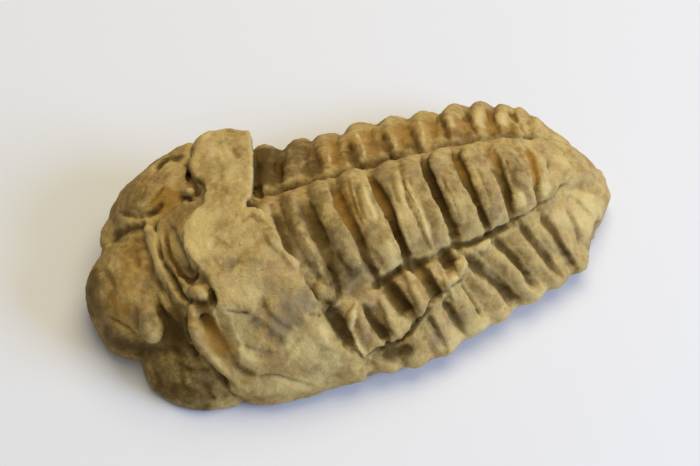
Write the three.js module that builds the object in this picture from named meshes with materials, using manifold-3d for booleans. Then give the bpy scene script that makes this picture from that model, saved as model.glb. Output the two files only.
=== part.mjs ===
// A trilobite fossil: a stone trilobite lying on its flat belly, its head half covered by broken rock.
// Millimetres. +X runs from the head to the tail, +Y to the far flank, +Z up from the belly.
// The origin is the middle of the stone's footprint, on the surface it rests on.

import * as THREE from 'three';
import { mergeVertices } from 'three/addons/utils/BufferGeometryUtils.js';
import Module from 'manifold-3d';

const wasm = await Module();
wasm.setup();

// Driving dimensions of the body, drawn from a point near the middle of the back
const AXIS_Y = -1.4;
const CORE_FRONT_X = -31;
const TAIL_TIP_X = 39.9;
const RING_RELIEF = 1.0;
const RIB_RELIEF = 0.95;
const FURROW_DEPTH = 4.6;
const FURROW_LINE = 0.45;
const FULL_AXIS_HALF_WIDTH = 8;
const NEAR_RIM_HEIGHT = 4.4;
const FAR_RIM_HEIGHT = 7.2;
const RIM_SHARE_OF_FLANK = 0.7;
const BELLY_INSET = 4.2;
const RING_BOW = 0.9;

// How high a bar and a rib stand, how deep the groove beside them falls and how blunt they are,
// as shares of their relief
const BAR_CREST = 0.55;
const BAR_FALL = 1.4;
const BAR_BLUNTNESS = 3;
const RIB_CREST = 0.6;
const RIB_FALL = 1.3;
const RIB_BLUNTNESS = 1.6;
const LEAST_RIB_GROOVE = 0.8;

// Where the furrow begins beside the axis and beside the flank, and how much of a bar is left in it
const AXIS_FURROW_FROM = 0.9;
const FLANK_FURROW_UP_TO = 0.1;
const BAR_LEFT_IN_FURROW = 0.15;
const RIB_RISE = 3.6;

// How much the ribs lag behind towards the rim, and how round the flank is
const SWEEP_POWER = 1.2;
const FLANK_ROUNDNESS = 1.55;

// Where the crest of each ring stands on the middle line, from the head backwards
const RING_X = [-13.0, -8.7, -4.4, 0.4, 6.0, 8.8, 13.5, 18.5, 23.6, 28.6, 31.8];
// How far behind that crest the ring's rib starts, on the near and on the far flank
const NEAR_RIB_STEP = [1.8, 2.3, 2.1, 2.2, 1.5, 1.8, 2.0, 1.4, 0.6, 0.2, 0.2];
const FAR_RIB_STEP = [1.8, 1.8, 1.8, 1.8, 1.8, 3.6, 4.0, 3.6, 2.0, -0.2, -0.6];
// How deep the groove behind each ring is, as a share of the relief: two rings almost touch
const GROOVE_SHARE = [1, 1, 1, 1, 0.35, 1.2, 1, 1, 0.9, 0.5, 0.3];
const FADING_RING = 8;
const FADED_RELIEF = 0.75;
const FADE_PER_RING = 0.15;

// The rows of vertices that draw one ring, from the groove before it to the groove behind it
const RING_PHASES = [-0.5, -0.38, -0.2, 0, 0.2, 0.38];
const CORE_ROW_STEP = 3.2;
const TAIL_ROWS = 6;

// Places round one section, as shares of each zone's width, from the belly up to the back
const BELLY_SHARES = [0, 1];
const WALL_SHARES = [0.33, 0.67];
const FLANK_SHARES = [1, 0.87, 0.72, 0.56, 0.39, 0.22, 0.06];
const AXIS_SHARES = [0.96, 0.82, 0.6, 0.36, 0.12];

// The near flank broke along a crack, and the part below it settled inwards and back
const CRACK = [
  [-6.5, -18.6], [-4.6, -17.9], [-1.3, -17.9], [2.0, -17.4], [3.9, -16.6], [6.1, -15.7], [8.5, -14.9],
  [10.2, -14.4], [11.8, -13.3], [13.0, -11.6], [16.7, -10.1], [21.7, -9.5], [24.4, -8.9], [27.1, -7.7],
  [29.8, -6.0], [32.0, -5.0],
];
const BELOW_CRACK = [[35, -9], [38, -26], [-6.5, -26]];
const BLOCK_RIB_STEP = 0.6;
const BLOCK_INSET = 0.8;
const BLOCK_OVERLAP = 0.4;

// Outlines, seen from above, of the slabs of rock on the head
const PLATE_OUTLINE = [
  [-9.2, 19.3], [-10.4, 14.8], [-13.3, 7.2], [-14.8, 4.5], [-13.4, 2.8], [-12.7, -4.4], [-11.4, -6.8],
  [-11.7, -8.7], [-10.7, -11.9], [-11.3, -13.5], [-11.1, -16.2], [-8.4, -17.4], [-7.8, -18.2], [-9.4, -18.6],
  [-14.5, -17.8], [-16.0, -17.2], [-20.5, -15.6], [-22.2, -15.7], [-24.7, -14.3], [-25.6, -10.9],
  [-25.5, -8.0], [-24.0, -6.6], [-24.1, -4.7], [-24.4, -3.0], [-25.2, -1.1], [-25.5, 2.4], [-24.6, 5.7],
  [-20.1, 8.5], [-20.0, 10.3], [-19.6, 16.9], [-17.2, 19.8], [-14.6, 21.9], [-12.0, 21.4],
];
const FLANGE_OUTLINE = [
  [-12, -10], [-8.6, -16], [-9.5, -17.9], [-14.7, -18.2], [-19.9, -17.8], [-23.1, -15.9], [-24.1, -14.8],
  [-26.8, -12.5], [-28.1, -10.2], [-28.8, -8.2], [-27.9, -5.1], [-24, -4],
];
const COLLAR_OUTLINE = [
  [-20.0, 11.0], [-23.6, 11.4], [-27.0, 10.4], [-28.5, 7.0], [-28.9, 3.5], [-28.6, 0.5], [-27.9, -2.4],
  [-26.6, -5.4], [-22.0, -5.4], [-20.0, 2.0],
];
const SLAB_CELL = 2.0;
const FLANGE_DROP = 1.2;

// The plate falls forward from this line, ever faster, and its near side is turned forward as well
const PLATE_FALLS_FROM_X = -12;
const PLATE_FALL = 0.011;
const NEAR_TURN_FROM_Y = -6;
const NEAR_TURN_OVER = 6;
const NEAR_TURN = 0.25;

// The collar's top: its height at one place, its slope towards the plate and how it rounds to both sides
const COLLAR_X = -26;
const COLLAR_Y = 4;
const COLLAR_HEIGHT = 15.6;
const COLLAR_SLOPE = 0.42;
const COLLAR_ROUNDING = 0.03;

// Routes of the grooves and the ridge beside the plate, and the radius of each
const HEAD_GROOVE = [[-25.7, 8.4, 16.3], [-26.5, 5.2, 15.9], [-26.5, 1.2, 15.5], [-25.6, -2.2, 15.3]];
const HEAD_GROOVE_RADIUS = 1.15;
const FLANGE_GROOVE = [[-26.3, -5.8, 14.2], [-26.1, -10.4, 12.4], [-24.8, -14.0, 9.6], [-22.0, -16.0, 7.4]];
const FLANGE_GROOVE_RADIUS = 0.9;
const OUTER_RIDGE = [[-28.3, 11.2, 13.2], [-29.4, 6.8, 14.0], [-29.6, 2.6, 13.6], [-29.7, -2.4, 12.0]];
const OUTER_RIDGE_RADIUS = 0.7;

// Weathering: the skin is nowhere quite even
const SLOW_WEAR = 0.16;
const QUICK_WEAR = 0.1;
const LUMPINESS = 2.4;
const LUMP_OF_FULL_WEAR = 6;

// A smooth curve through a few [place, value] pairs
function through(pairs) {
  const curve = new THREE.CubicInterpolant(pairs.map((p) => p[0]), pairs.map((p) => p[1]), 1);
  return (place) => curve.evaluate(place)[0];
}

// How the section changes along the body, by x
const crownHeight = through([
  [-31, 12], [-24, 17], [-16, 18.6], [-8, 19.1], [0, 19.3], [8, 19.1], [16, 18.2],
  [22, 16.8], [28, 14.6], [33, 11.7], [37, 8.6], [39.9, 5.6],
]);
const axisHalfWidth = through([
  [-31, 6], [-14, 9.2], [-4, 9.5], [6, 8.8], [18, 8.0], [25, 6.8], [28, 5.6],
  [32, 3.6], [37, 2.0], [39.9, 1.0],
]);
const nearHalfWidth = through([
  [-31, 9], [-24, 14.5], [-16, 17.2], [-9, 18.0], [-3, 19.4], [3, 20.1], [8, 19.2], [15, 17.4],
  [22, 16.2], [28, 14.7], [33, 12.2], [36, 7.5], [39.9, 2.8],
]);
const farHalfWidth = through([
  [-31, 12], [-24, 17], [-12, 20.3], [-6, 21.6], [4, 21.7], [10, 21.2], [17, 20.0], [23, 19.2], [28, 17.9],
  [32, 15.6], [35, 12.4], [37.5, 8.3], [39.9, 3.2],
]);

// How far a rib runs back between its furrow and the rim
const nearSweep = through([[-30, 2.4], [-13, 3.2], [6, 3.6], [14, 5.2], [29, 5.6], [34, 4.0], [39.9, 0]]);
const farSweep = through([[-30, 3.0], [-13, 5.0], [26, 5.0], [34, 2.6], [39.9, 0]]);

// Slow, hand-sized unevenness of weathered stone at a point
function wear(x, y, z) {
  const slow = Math.sin(0.43 * x + 1.3 * Math.sin(0.31 * y)) * Math.cos(0.37 * y + 0.21 * z);
  const quick = Math.sin(1.13 * x - 0.71 * y + 0.9) * Math.sin(0.83 * y + 0.67 * z + 0.4);
  return SLOW_WEAR * slow + QUICK_WEAR * quick;
}

function solidOf(positions, index) {
  const mesh = new wasm.Mesh({
    numProp: 3,
    vertProperties: new Float32Array(positions),
    triVerts: new Uint32Array(index),
  });
  return new wasm.Manifold(mesh);
}

// Any closed three.js geometry as a solid
function solid(geometry) {
  geometry.deleteAttribute('normal');
  geometry.deleteAttribute('uv');
  const welded = mergeVertices(geometry, 1e-4);
  return solidOf(welded.attributes.position.array, welded.index.array);
}

// A closed solid from a row of vertex rings, with a fan over each end
function solidFromRings(positions, rowCount, ringSize) {
  const index = [];
  const vertex = (row, i) => row * ringSize + (i % ringSize);
  for (let row = 0; row < rowCount - 1; row += 1) {
    for (let i = 0; i < ringSize; i += 1) {
      const here = [vertex(row, i), vertex(row, i + 1)];
      const next = [vertex(row + 1, i), vertex(row + 1, i + 1)];
      index.push(here[0], next[1], here[1], here[0], next[0], next[1]);
    }
  }
  const last = rowCount - 1;
  for (let i = 1; i < ringSize - 1; i += 1) {
    index.push(vertex(0, 0), vertex(0, i), vertex(0, i + 1));
    index.push(vertex(last, 0), vertex(last, i + 1), vertex(last, i));
  }
  return solidOf(positions, index);
}

// The places round one section: belly, wall, flank and axis of the near side, then down the far side
function sectionPlaces() {
  const inZone = (zone, shares) => shares.map((share) => ({ zone, share }));
  const half = [
    ...inZone('belly', BELLY_SHARES),
    ...inZone('wall', WALL_SHARES),
    ...inZone('flank', FLANK_SHARES),
    ...inZone('axis', AXIS_SHARES),
  ];
  const near = half.map((place) => ({ ...place, side: -1 }));
  const far = half.slice(1).reverse().map((place) => ({ ...place, side: 1 }));
  return [...near, ...far];
}

const PLACES = sectionPlaces();

// A value between the entries of a list, by ring number; beyond its ends the last step goes on
function between(list, ring) {
  const i = Math.min(Math.max(Math.floor(ring), 0), list.length - 2);
  return list[i] + (list[i + 1] - list[i]) * (ring - i);
}

// One row of the ringed back: a rounded bar on the axis and a sharper rib on each flank
function ringRow(ring, phase, ribShift) {
  const nearX = RING_X.map((x, i) => x + NEAR_RIB_STEP[i] + ribShift);
  const farX = RING_X.map((x, i) => x + FAR_RIB_STEP[i]);
  const groove = GROOVE_SHARE[phase < 0 ? Math.max(ring - 1, 0) : ring];
  const fade = ring > FADING_RING ? FADED_RELIEF - FADE_PER_RING * (ring - FADING_RING - 1) : 1;
  const barDrop = Math.abs(2 * phase) ** BAR_BLUNTNESS * groove;
  const ribDrop = Math.abs(2 * phase) ** RIB_BLUNTNESS * Math.max(groove, LEAST_RIB_GROOVE);
  return {
    x: between(RING_X, ring + phase),
    near: between(nearX, ring + phase),
    far: between(farX, ring + phase),
    bar: (BAR_CREST - BAR_FALL * barDrop) * fade,
    rib: (RIB_CREST - RIB_FALL * ribDrop) * fade,
    line: 1,
  };
}

// All rows, from the core under the head to the tail tip
function bodyRows(ribShift) {
  const rows = [];
  for (let x = CORE_FRONT_X; x < RING_X[0] - 4; x += CORE_ROW_STEP) {
    rows.push({ x, near: x + NEAR_RIB_STEP[0], far: x + FAR_RIB_STEP[0], bar: 0, rib: 0, line: 0 });
  }
  RING_X.forEach((crest, ring) => {
    RING_PHASES.forEach((phase) => rows.push(ringRow(ring, phase, ribShift)));
  });
  const lastX = rows[rows.length - 1].x;
  for (let i = 1; i <= TAIL_ROWS; i += 1) {
    const share = i / TAIL_ROWS;
    const x = lastX + (TAIL_TIP_X - lastX) * share;
    const near = x + NEAR_RIB_STEP[10] * (1 - share);
    const far = x + FAR_RIB_STEP[10] * (1 - share);
    rows.push({ x, near, far, bar: 0, rib: 0, line: 1 - share });
  }
  return rows;
}

// One vertex of the smooth section: x, distance from the axis, height
function sectionPoint(row, place) {
  const { side, zone, share } = place;
  const isNear = side < 0;
  const furrowX = isNear ? row.near : row.far;
  const sweep = isNear ? nearSweep(row.near) : farSweep(row.far);
  const furrowDrop = (x) => FURROW_DEPTH * Math.min(1, axisHalfWidth(x) / FULL_AXIS_HALF_WIDTH);
  if (zone === 'axis') {
    const x = row.x + RING_BOW * share ** 2 + (furrowX - row.x - RING_BOW) * share ** 3;
    return [x, axisHalfWidth(x) * share, crownHeight(x) - furrowDrop(x) * share ** 3];
  }
  const x = zone === 'flank' ? furrowX + sweep * share ** SWEEP_POWER : furrowX + sweep;
  const top = crownHeight(x) - furrowDrop(x);
  const width = isNear ? nearHalfWidth(x) : farHalfWidth(x);
  const rim = Math.min(isNear ? NEAR_RIM_HEIGHT : FAR_RIM_HEIGHT, RIM_SHARE_OF_FLANK * top);
  if (zone === 'flank') {
    const inner = axisHalfWidth(x);
    return [x, inner + (width - inner) * share, rim + (top - rim) * (1 - share ** FLANK_ROUNDNESS)];
  }
  const foot = width - Math.min(BELLY_INSET, width / 2);
  if (zone === 'wall') {
    const turn = share * Math.PI / 2;
    return [x, foot + (width - foot) * Math.sin(turn), rim * (1 - Math.cos(turn))];
  }
  const middle = (row.near + nearSweep(row.near) + row.far + farSweep(row.far)) / 2;
  return [middle + (x - middle) * share, foot * share, 0];
}

// How far the relief of rings, ribs and furrows lifts a vertex off the smooth section
function relief(row, place) {
  const { zone, share } = place;
  if (zone === 'axis') {
    const inFurrow = share > AXIS_FURROW_FROM;
    const bar = row.bar * (inFurrow ? BAR_LEFT_IN_FURROW : 1);
    return RING_RELIEF * bar - (inFurrow ? FURROW_LINE * row.line : 0);
  }
  if (zone === 'flank') {
    const inFurrow = share < FLANK_FURROW_UP_TO;
    const rib = row.rib * Math.min(1, RIB_RISE * share);
    return RIB_RELIEF * rib - (inFurrow ? FURROW_LINE * row.line : 0);
  }
  return zone === 'wall' ? RIB_RELIEF * row.rib * share : 0;
}

// The body from the core under the head to the tail tip, drawn in all over by the inset
function body(ribShift, inset) {
  const positions = [];
  const rows = bodyRows(ribShift);
  rows.forEach((row) => {
    const smooth = PLACES.map((place) => {
      const [x, out, z] = sectionPoint(row, place);
      return new THREE.Vector3(x, AXIS_Y + place.side * out, z);
    });
    smooth.forEach((point, i) => {
      const before = smooth[(i + smooth.length - 1) % smooth.length];
      const after = smooth[(i + 1) % smooth.length];
      const outward = new THREE.Vector3(0, before.z - after.z, after.y - before.y).normalize();
      if (PLACES[i].zone !== 'belly') {
        const lift = relief(row, PLACES[i]) + wear(point.x, point.y, point.z) - inset;
        point.addScaledVector(outward, lift);
      }
      positions.push(point.x, point.y, Math.max(0, point.z));
    });
  });
  return solidFromRings(positions, rows.length, PLACES.length);
}

// An upright block over an outline seen from above
function prism(outline, bottom, height) {
  const shape = new THREE.Shape(outline.map(([x, y]) => new THREE.Vector2(x, y)));
  const geometry = new THREE.ExtrudeGeometry(shape, { depth: height, bevelEnabled: false });
  geometry.translate(0, 0, bottom);
  return solid(geometry);
}

// The block of the near flank below the crack, grown by an overlap so that it bites into the body
function flankBlock(overlap) {
  const crack = CRACK.map(([x, y]) => [x, y + overlap]);
  const rest = BELOW_CRACK.map(([x, y]) => [x + overlap * Math.sign(x), y]);
  return prism([...crack, ...rest], -5, 40);
}

// The body with the part of the near flank below the crack settled
function crackedBody() {
  const settled = body(BLOCK_RIB_STEP, BLOCK_INSET).intersect(flankBlock(BLOCK_OVERLAP));
  return body(0, 0).subtract(flankBlock(0)).add(settled);
}

// A rounded lump of stone with a worn skin; turn is about the upright, in degrees
function lump(center, radii, turn = 0, columns = 18, rows = 12) {
  const geometry = new THREE.SphereGeometry(1, columns, rows);
  geometry.scale(...radii);
  geometry.rotateZ(THREE.MathUtils.degToRad(turn));
  const spots = geometry.attributes.position;
  const roughness = LUMPINESS * Math.min(1, Math.min(...radii) / LUMP_OF_FULL_WEAR);
  for (let i = 0; i < spots.count; i += 1) {
    const spot = new THREE.Vector3().fromBufferAttribute(spots, i);
    const [x, y, z] = spot.toArray().map((value, axis) => 1.4 * (value + center[axis]));
    spot.setLength(spot.length() + roughness * wear(x, y, z));
    spots.setXYZ(i, spot.x, spot.y, spot.z);
  }
  geometry.translate(...center);
  return solid(geometry);
}

// A small lump or pit
function pebble(center, radii, turn = 0) {
  return lump(center, radii, turn, 12, 8);
}

// A round bar along a smooth route, for a ridge or for cutting a groove
function bar(route, radius) {
  const curve = new THREE.CatmullRomCurve3(route.map((point) => new THREE.Vector3(...point)));
  const section = new THREE.Shape();
  section.absarc(0, 0, radius, 0, Math.PI * 2);
  return solid(new THREE.ExtrudeGeometry(section, { extrudePath: curve, steps: 10, curveSegments: 4 }));
}

// A slab of rock with upright broken sides and a modelled top
function slab(outline, top, bottom) {
  const xs = outline.map((point) => point[0]);
  const ys = outline.map((point) => point[1]);
  const [x0, x1] = [Math.min(...xs) - 1, Math.max(...xs) + 1];
  const [y0, y1] = [Math.min(...ys) - 1, Math.max(...ys) + 1];
  const rows = Math.round((x1 - x0) / SLAB_CELL) + 1;
  const columns = Math.round((y1 - y0) / SLAB_CELL) + 1;
  const positions = [];
  for (let row = 0; row < rows; row += 1) {
    const x = x0 + (x1 - x0) * row / (rows - 1);
    positions.push(x, y1, bottom - 1, x, y0, bottom - 1);
    for (let column = 0; column < columns; column += 1) {
      const y = y0 + (y1 - y0) * column / (columns - 1);
      positions.push(x, y, Math.max(bottom - 0.5, top(x, y)));
    }
  }
  return prism(outline, bottom, 30).intersect(solidFromRings(positions, rows, columns + 2));
}

// Height of the plate across the head, by y
const plateProfile = through([
  [-21, 0.5], [-20, 3.5], [-19, 6.4], [-18, 8.8], [-16.5, 11.4], [-14, 14.2], [-11.5, 16.4], [-7, 18.8],
  [-2, 20.0], [3, 20.1], [8, 19.2], [14, 17.4], [19, 16.2], [23, 14.8],
]);

// The plate's top: it falls forward, and more so on the near side
function plateTop(x, y) {
  const forward = Math.max(0, PLATE_FALLS_FROM_X - x);
  const nearShare = THREE.MathUtils.clamp((NEAR_TURN_FROM_Y - y) / NEAR_TURN_OVER, 0, 1);
  const height = plateProfile(y - NEAR_TURN * forward * nearShare) - PLATE_FALL * forward ** 2;
  return height + wear(x, y, 0);
}

function flangeTop(x, y) {
  return plateTop(x, y) - FLANGE_DROP;
}

function collarTop(x, y) {
  const height = COLLAR_HEIGHT + COLLAR_SLOPE * (x - COLLAR_X) - COLLAR_ROUNDING * (y - COLLAR_Y) ** 2;
  return height + wear(x, y, 0);
}

// The plate's far wing stands free of the flank, so it is hollowed from below
function plate() {
  const underWing = lump([-10, 24.5, 0.5], [13, 10.5, 11.5]);
  return slab(PLATE_OUTLINE, plateTop, 1.2).subtract(underWing);
}

// Rock and shell that build the head up, largest first
function headPieces() {
  const core = lump([-24, 4, 1.5], [11.5, 16.5, 12.8]);
  const nose = lump([-31.6, 4.7, 3.9], [8.8, 9.2, 9.4]);
  const farCheek = lump([-23.0, 15.2, 5.4], [12.4, 8.7, 9.6], 30);
  const lowerLobe = lump([-27.8, -8.2, 1.0], [8.9, 6.0, 6.6], -36);
  const noseBoss = pebble([-33.2, -3.1, 9.6], [1.9, 3.1, 2.2]);
  const brow = pebble([-22.6, 15.2, 11.4], [4.9, 2.2, 3.8], 50);
  const collar = slab(COLLAR_OUTLINE, collarTop, 5);
  const flange = slab(FLANGE_OUTLINE, flangeTop, 1.0);
  return [core, nose, farCheek, lowerLobe, noseBoss, brow, collar, flange, plate()];
}

// Ends of the first bare rings, where rock still clings to them: two near ones, then the far one by the plate
function ringEnds() {
  return [
    pebble([-9.2, -10.2, 14.2], [1.6, 3.3, 2.1], 14),
    pebble([-3.6, -11.0, 12.4], [3.2, 3.0, 2.2]),
    pebble([-7.6, 16.8, 9.8], [3.0, 2.9, 2.6]),
  ];
}

// Grooves, slits and pits
function hollows() {
  const headGroove = bar(HEAD_GROOVE, HEAD_GROOVE_RADIUS);
  const flangeGroove = bar(FLANGE_GROOVE, FLANGE_GROOVE_RADIUS);
  const eyePit = pebble([-20.8, 12.6, 17.2], [1.9, 2.0, 2.2]);
  const eyeSlit = pebble([-20.2, 15.6, 16.2], [0.45, 2.3, 2.4], -10);
  const knobSlit = pebble([-24.0, -5.8, 16.2], [0.5, 1.7, 1.2], -15);
  const plateNotch = pebble([-14.6, 4.9, 19.6], [0.7, 0.9, 1.4]);
  const flankPocket = pebble([9.0, -12.6, 14.3], [2.1, 1.6, 1.7]);
  return [headGroove, flangeGroove, eyePit, eyeSlit, knobSlit, plateNotch, flankPocket];
}

// Small pieces that stand in or beside the hollows
function smallRelief() {
  const eye = pebble([-21.3, 12.2, 14.8], [1.0, 1.0, 2.0]);
  const knob = pebble([-25.8, -4.2, 14.8], [1.7, 1.8, 1.8]);
  const outerRidge = bar(OUTER_RIDGE, OUTER_RIDGE_RADIUS);
  return [eye, knob, outerRidge];
}

// The whole stone, stood on the ground plane with its footprint's middle at the origin
function stone() {
  const whole = [...headPieces(), ...ringEnds()].reduce((sum, piece) => sum.add(piece), crackedBody());
  const hollowed = hollows().reduce((rest, hollow) => rest.subtract(hollow), whole);
  const complete = smallRelief().reduce((sum, piece) => sum.add(piece), hollowed);
  const ground = new THREE.BoxGeometry(120, 120, 20);
  ground.translate(0, 0, -10);
  const { vertProperties, triVerts } = complete.subtract(solid(ground)).getMesh();
  const geometry = new THREE.BufferGeometry();
  geometry.setAttribute('position', new THREE.BufferAttribute(vertProperties, 3));
  geometry.setIndex(new THREE.BufferAttribute(triVerts, 1));
  geometry.computeBoundingBox();
  const middle = geometry.boundingBox.getCenter(new THREE.Vector3());
  geometry.translate(-middle.x, -middle.y, 0);
  geometry.computeVertexNormals();
  return geometry;
}

const material = new THREE.MeshStandardMaterial({ color: 0xa3885a, roughness: 0.9, metalness: 0 });

const trilobite = new THREE.Mesh(stone(), material);
trilobite.name = 'trilobite';
const group = new THREE.Group();
group.add(trilobite);

export default group;
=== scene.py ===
"""The looks of a trilobite fossil: its carved and stained stone skin with painted shade and highlights, and a plain
pale studio to show it in.
"""

import math

import bpy
import numpy as np
from mathutils import Matrix, Vector, noise
from mathutils.bvhtree import BVHTree


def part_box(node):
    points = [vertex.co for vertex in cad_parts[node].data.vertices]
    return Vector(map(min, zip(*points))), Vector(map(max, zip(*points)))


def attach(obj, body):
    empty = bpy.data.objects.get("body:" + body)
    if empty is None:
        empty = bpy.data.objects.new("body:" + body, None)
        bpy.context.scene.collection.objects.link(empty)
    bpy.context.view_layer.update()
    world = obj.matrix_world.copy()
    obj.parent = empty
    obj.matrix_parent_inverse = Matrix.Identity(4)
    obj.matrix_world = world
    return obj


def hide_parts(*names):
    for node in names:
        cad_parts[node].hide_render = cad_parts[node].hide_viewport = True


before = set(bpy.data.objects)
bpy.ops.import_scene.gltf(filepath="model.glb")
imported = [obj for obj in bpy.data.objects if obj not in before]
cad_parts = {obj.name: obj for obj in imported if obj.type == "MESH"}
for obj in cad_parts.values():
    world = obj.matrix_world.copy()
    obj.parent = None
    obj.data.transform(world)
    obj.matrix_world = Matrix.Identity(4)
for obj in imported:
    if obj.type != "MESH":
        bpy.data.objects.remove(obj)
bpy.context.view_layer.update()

bl_info = {
    "name": "Trilobite Fossil",
    "version": (1, 0, 0),
    "blender": (4, 5, 0),
    "location": "3D Viewport > Sidebar > Fossil",
    "description": "Builds a stone trilobite with rock on its head, and a plain studio around it",
    "category": "Add Mesh",
}

MM = 0.001
STONE_NODE = "trilobite"

# The photograph's frame, in pixels, and the camera that was matched to it
PHOTO_WIDTH = 700
PHOTO_HEIGHT = 466
SENSOR_WIDTH = 36.0

# Height, in millimetres, over which the plain belly turns into weathered skin
BELLY_RIM = 1.0

# How far past the stone's outline, in millimetres, a route may run
RIM_SLACK = 2.0

# How far a stain's soft edge reaches, against its half width
STAIN_SPREAD = 1.5

# Strokes longer than this, in millimetres, run out at their ends, over this share of their length
TAPER_FROM = 2.0
TAPER_SHARE = 0.16

# Share of its height that such a stroke keeps at its very ends, and how round its crest is
END_SHARE = 0.35
CREST_ROUNDNESS = 0.4

# Sizes, in millimetres, and strengths of the noise that makes the edges of strokes stray
WANDER_NOISE = ((2.2, 1.0), (0.9, 0.5))

# Angles between facets: from the first on, an edge counts as broken, and up to the other two, flat facets
# are joined
BROKEN_EDGE = math.radians(48)
JOINED_BEND = math.radians(25)
JOINED_SKEW = math.radians(50)

# Lights: place to the right of the target, onward from the camera and upward, size, power and colour
WINDOW = ((0.55, -0.16, 0.30), 0.34, 3.8, (0.46, 0.61, 1.0))
LAMP = ((0.12, 0.22, 0.65), 0.66, 3.6, (1.0, 0.86, 0.55))
SKY_COLOUR = (0.96, 0.97, 1.0, 1.0)
SKY_STRENGTH = 0.30
PAPER_COLOUR = (0.77, 0.78, 0.80, 1.0)
FLOOR_SIZE = 6.0

# Clouds of tone over the clean stone, the lowest first: size in millimetres, detail, roughness and
# distortion of the noise, the noise values at which a cloud starts and is full, its strength and its colour
TONE_CLOUDS = (
    (3.4, 6.0, 0.7, 0.0, 0.50, 0.62, 0.4, "cream"),
    (3.8, 5.0, 0.7, 0.5, 0.50, 0.62, 0.6, "rose"),
    (2.2, 5.0, 0.7, 0.4, 0.50, 0.64, 0.5, "grey"),
    (0.9, 3.0, 0.6, 0.0, 0.30, 0.75, 0.35, "cream"),
    (1.6, 3.0, 0.6, 0.0, 0.60, 0.74, 0.5, "umber"),
)

# Tones that follow the relief, all of them painted light and shade: painted shade on slopes that face the head
# and in hollows, painted light on slopes that face the tail and a painted highlight on crests. For each:
# attribute, the values at which the tone starts and is full, colour and strength
RELIEF_TONES = (
    ("headward", 0.15, 0.85, "umber", 0.5),
    ("tailward", 0.1, 0.8, "cream", 0.1),
    ("hollow", 0.1, 1.0, "umber", 0.65),
    ("crest", 0.1, 1.0, "cream", 0.28),
)
# Strength of the painted shade in the cut grooves, full where a groove is a millimetre deep
GROOVE_SHADE_STRENGTH = 0.55
GRAIN_STRENGTH = 0.22
GRAIN_SHADE = (0.6, 0.6, 0.6)

# Relief that the solid is too coarse for. Each stroke has its reach to the left and to the right of its
# route, its height, all in millimetres, and its route over the stone, given where it shows in the
# photograph's frame. A negative height is a groove. Grooves between rings are steep on the tail side, which
# is on the left when walking down.
RING_GROOVES = (
    (0.75, 1.0, -0.95, [(272, 206), (278, 222), (284, 238), (291, 250), (303, 261)]),
    (1.2, 1.8, -1.35, [(300, 196), (308, 212), (316, 230), (325, 248), (332, 265), (334, 283)]),
    (0.7, 1.6, -1.2, [(332, 184), (340, 204), (350, 222), (360, 240), (367, 257), (376, 276), (382, 290)]),
    (0.7, 1.3, -1.25, [(368, 176), (380, 192), (391, 214), (399, 235), (407, 256), (413, 270)]),
    (0.25, 0.31, -0.72, [(403, 182), (409, 202), (419, 224), (430, 248)]),
    (0.85, 1.3, -1.4, [(424, 158), (430, 178), (438, 198), (448, 220), (458, 241), (463, 252)]),
    (0.6, 1.2, -1.05, [(453, 150), (463, 170), (473, 192), (481, 212), (489, 231), (494, 243)]),
    (0.6, 1.2, -0.95, [(493, 150), (501, 170), (507, 190), (511, 210), (514, 224)]),
    (0.6, 0.9, -0.85, [(526, 148), (534, 165), (537, 182), (538, 198), (539, 210)]),
)
RING_FLAKES = (
    (0.4, 0.5, 0.39, [(361, 182), (366, 200), (374, 218)]),
    (1.2, 1.2, 0.45, [(384, 235), (390, 255), (393, 272)]),
    (0.5, 0.5, 0.39, [(394, 168), (399, 190), (405, 210)]),
    (0.35, 0.45, 0.52, [(404, 174), (412, 196), (420, 214), (427, 235), (432, 246)]),
    (0.3, 0.4, 0.39, [(411, 180), (418, 200), (424, 215)]),
    (0.9, 1.0, 0.39, [(515, 190), (520, 200), (524, 210)]),
    (0.35, 0.5, 0.3, [(446, 165), (458, 192), (470, 220)]),
    (0.35, 0.5, 0.3, [(484, 158), (492, 175), (499, 195)]),
    (0.35, 0.4, -0.35, [(475, 165), (486, 190), (492, 208)]),
    (0.35, 0.4, 0.3, [(508, 150), (516, 170), (521, 190)]),
    (0.35, 0.4, -0.35, [(517, 148), (525, 170), (529, 195)]),
    (0.35, 0.4, -0.35, [(543, 150), (548, 165), (549, 185)]),
    (0.35, 0.4, -0.3, [(348, 182), (352, 200), (362, 225)]),
    (0.6, 0.8, 0.39, [(552, 146), (560, 155), (564, 168)]),
    (0.3, 0.35, -0.4, [(354, 184), (359, 200), (363, 214)]),
    (0.3, 0.35, -0.35, [(388, 172), (393, 190), (398, 206)]),
    (0.3, 0.5, 0.4, [(398, 214), (404, 232), (411, 250)]),
    (0.3, 0.35, -0.4, [(441, 176), (450, 196), (459, 214)]),
    (0.3, 0.35, -0.35, [(505, 158), (512, 178), (516, 198)]),
    (0.4, 0.4, -0.3, [(535, 150), (541, 168), (543, 186)]),
    (1.5, 1.5, 0.8, [(320, 283), (325, 297)]),
    (0.5, 0.5, -0.8, [(331, 264), (336, 280), (338, 292), (335, 303)]),
    (0.4, 0.4, -0.5, [(305, 271), (307, 283), (315, 296)]),
)
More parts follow.
